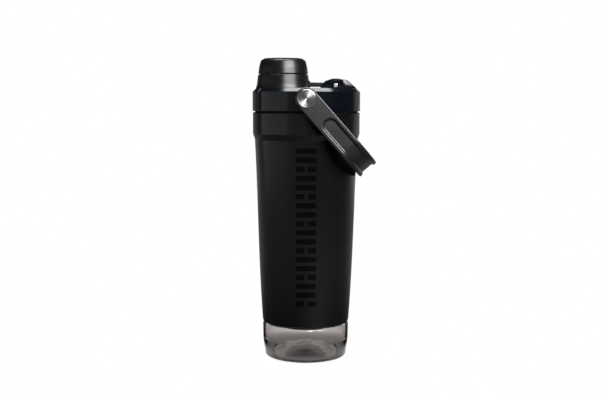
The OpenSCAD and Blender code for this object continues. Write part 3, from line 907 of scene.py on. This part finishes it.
def pivot_screw(side_name):
    """A steel screw with a broad flat head and a small dimple in its middle."""
    head_low, end = SCREW_TOP - 1.4, 38.5
    outline = rounded([(0, end, 0), (SHAFT_R, end, 0.3), (SHAFT_R, head_low, 0), (HEAD_R, head_low, 0.25),
                       (HEAD_R, SCREW_TOP, 0.5), (1.0, SCREW_TOP - 0.12, 0.2), (0.6, SCREW_TOP - 0.4, 0.2),
                       (0, SCREW_TOP - 0.45, 0)], 6)
    screw = lay_along_y(lathe("screw_" + side_name, outline, 144), side_name)
    return finish_piece(screw, "lid", SPUN, "spun_steel", "pivot_screw_" + side_name)


def pivot_bush(side_name):
    """A plastic sleeve for the strap to turn on, with a flange between the strap and the lid."""
    flange_r, flange_top, sleeve_r = 7.0, 46.5, 4.0
    outline = rounded([(SHAFT_R, BUSH_LOW, 0), (flange_r, BUSH_LOW, 0.2), (flange_r, flange_top, 0.3),
                       (sleeve_r, flange_top, 0.1), (sleeve_r, BUSH_TOP, 0.2), (SHAFT_R, BUSH_TOP, 0)], 4)
    bush = lay_along_y(lathe("bush_" + side_name, outline, 96), side_name)
    return finish_piece(bush, "lid", INNER, "bush_plastic", "pivot_bush_" + side_name)


# ---- CAD nodes that stay, with a finish ----

KEPT = {"inner_liner": STEEL, "vessel_base": STEEL, "getter": STEEL, "base_collar": INNER,
        "mixing_grid": INNER, "pivot_insert_front": BRASS, "pivot_insert_back": BRASS}


def dress_kept_nodes():
    for node, material in KEPT.items():
        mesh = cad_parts[node].data
        mesh.materials.clear()
        mesh.materials.append(material)


# ---- Studio ----

def area_light(name, place, aim, size, brightness):
    """A soft rectangular light; place, aim and size are in metres, brightness is its face's radiance."""
    data = bpy.data.lights.new(name, "AREA")
    data.shape = "RECTANGLE"
    data.size, data.size_y = size
    data.energy = math.pi * size[0] * size[1] * brightness
    light = bpy.data.objects.new(name, data)
    light.location = place
    direction = Vector(aim) - Vector(place)
    light.rotation_euler = direction.to_track_quat("-Z", "Y").to_euler()
    light.visible_camera = False
    light.visible_transmission = False
    scene.collection.objects.link(light)


def panel(name, azimuth, elevation, brightness, distance=1.2, aim=(0, 0, 0.15)):
    """A light that fills this range of angles round the aim: azimuth 0 is the camera's side, 90 is +X."""
    turn = math.radians(sum(azimuth) / 2)
    rise = math.radians(sum(elevation) / 2)
    outward = Vector((math.sin(turn) * math.cos(rise), -math.cos(turn) * math.cos(rise), math.sin(rise)))
    width = 2 * distance * math.tan(math.radians(azimuth[1] - azimuth[0]) / 2) * math.cos(rise)
    height = 2 * distance * math.tan(math.radians(elevation[1] - elevation[0]) / 2)
    area_light(name, Vector(aim) + outward * distance, aim, (width, height), brightness)


def seen_or_lit(material, shown, hidden):
    """Shows one shader to the camera and through clear plastic, and another to everything else."""
    nodes, links = material.node_tree.nodes, material.node_tree.links
    path = nodes.new("ShaderNodeLightPath")
    either = nodes.new("ShaderNodeMath")
    either.operation = "MAXIMUM"
    links.new(path.outputs["Is Camera Ray"], either.inputs[0])
    links.new(path.outputs["Is Transmission Ray"], either.inputs[1])
    mix = nodes.new("ShaderNodeMixShader")
    links.new(either.outputs[0], mix.inputs[0])
    links.new(hidden, mix.inputs[1])
    links.new(shown, mix.inputs[2])
    output = next(n for n in nodes if n.type.startswith("OUTPUT"))
    links.new(mix.outputs[0], output.inputs["Surface"])


def studio():
    """A white view with dark surroundings: a light overhead, a key on the right, dim panels all round."""
    area_light("overhead", (0.025, 0.015, 1.25), (0.025, 0.015, 0), (0.95, 0.53), 11)
    panel("key", (6, 55), (14, 36), 18, 0.7, (0, 0, 0.24))
    panel("left_panel", (-110, -40), (-7, 8), 0.52)
    panel("left_top", (-110, -30), (8, 22), 0.2)
    panel("front_left", (-40, 0), (-7, 8), 0.18)
    panel("rear_right", (120, 160), (-7, 12), 0.3)
    panel("rear", (160, 185), (-7, 22), 0.7)
    panel("rear_left", (-175, -130), (-7, 12), 0.15)
    world = bpy.data.worlds.new("studio")
    scene.world = world
    world.use_nodes = True
    nodes = world.node_tree.nodes
    white = nodes["Background"]
    white.inputs["Color"].default_value = (1, 1, 1, 1)
    around = nodes.new("ShaderNodeBackground")
    around.inputs["Color"].default_value = (1, 1, 1, 1)
    around.inputs["Strength"].default_value = 0.02
    seen_or_lit(world, white.outputs[0], around.outputs[0])
    scene.view_settings.view_transform = "Standard"


def shade_under(add, where, reach, depth):
    """How bright the floor looks through the clear cup, with a painted shadow: 1 away from it, dark round
    the foot.
    """
    shade = add("ShaderNodeValToRGB", i0=spread(add, reach, 0, 1, 0, 80 * MM))
    for place, bright in [(0.03, 0.02), (0.16, 0.26), (0.35, 0.36), (0.6, 0.36), (0.7, 0.55), (0.8, 1)]:
        stop = shade.color_ramp.elements.new(place)
        stop.color = (bright, bright, bright, 1)
    shade.color_ramp.elements.remove(shade.color_ramp.elements[0])
    # painted light: the floor just in front of the foot is lighter, as if light reaches under the cup's
    # front rim
    front = spread(add, depth, 0.7, 0, -34 * MM, -24 * MM)
    with_front = math_of(add, "MAXIMUM", shade.outputs[0], front)
    # painted shadow, darkest a little in front of the middle, in a patch that is wider than it is deep
    moved = vector_math(add, "ADD", where, (0, 12 * MM, 0))
    away = length_of(add, vector_math(add, "MULTIPLY", moved, (1, 1.8, 1)))
    return math_of(add, "MULTIPLY", with_front, spread(add, away, 0.06, 1, 7 * MM, 24 * MM))


def floor():
    """A floor that looks white, and glows to give the bottle a little painted light from below."""
    half = 4000
    corners = [(-half, -half, 0), (half, -half, 0), (half, half, 0), (-half, half, 0)]
    ground = add_mesh("floor", corners, [[0, 1, 2, 3]])
    material, shader, add, links = new_material("pale_floor")
    where = add("ShaderNodeTexCoord").outputs["Object"]
    reach = length_of(add, where)
    depth = add("ShaderNodeSeparateXYZ", i0=where).outputs["Y"]
    # painted shade: the floor's colour and glow fade close to the foot, and a painted bright ring of glow
    # there meets the cup's edge
    fade_from, fade_to = 90 * MM, 320 * MM
    links.new(spread(add, reach, 0, 0.05, fade_from, fade_to), shader.inputs["Base Color"])
    shader.inputs["Roughness"].default_value = 0.6
    shader.inputs["Emission Color"].default_value = (1, 1, 1, 1)
    far = spread(add, reach, 0, 0.055, fade_from, fade_to)
    near = spread(add, reach, 0.9, 0, 46 * MM, 58 * MM)
    # painted light: the floor glows more the further it lies behind the bottle
    behind = spread(add, depth, 0, 0.14, 60 * MM, 300 * MM)
    glow = math_of(add, "MAXIMUM", math_of(add, "MAXIMUM", far, near), behind)
    links.new(glow, shader.inputs["Emission Strength"])
    # the shade round the foot shows through the clear cup, and not to the camera itself
    seen_directly = add("ShaderNodeLightPath").outputs["Is Camera Ray"]
    level = math_of(add, "MAXIMUM", shade_under(add, where, reach, depth), seen_directly)
    white = add("ShaderNodeEmission", Strength=level)
    seen_or_lit(material, white.outputs[0], shader.outputs[0])
    ground.data.materials.append(material)


def camera():
    data = bpy.data.cameras.new("camera")
    data.lens = 59.1
    data.sensor_width = 36
    data.clip_start, data.clip_end = 0.01, 50
    cam = bpy.data.objects.new("camera", data)
    cam.location = Vector((-2.54, -837, 213.9)) * MM
    tilt = Matrix.Rotation(math.radians(90 - 5.57), 3, "X")
    roll = Matrix.Rotation(math.radians(0.2), 3, "Z")
    cam.rotation_euler = (tilt @ roll).to_euler()
    scene.collection.objects.link(cam)
    scene.camera = cam


camera()
studio()
floor()
outer_shell()
print_bars()
storage_cup()
gasket("cup_seal_ring", "storage_seal", width=1.0, bead=0.3)
gasket("lid_seal_ring", "lid_gasket", width=2.0, bead=0.35)
lid_shell()
lid_core()
spout()
hinge_block()
hinge_pin()
cap_arm()
cap_shell()
cap_liner()
cap_seal()
handle()
for which in ("front", "back"):
    pivot_screw(which)
    pivot_bush(which)
dress_kept_nodes()
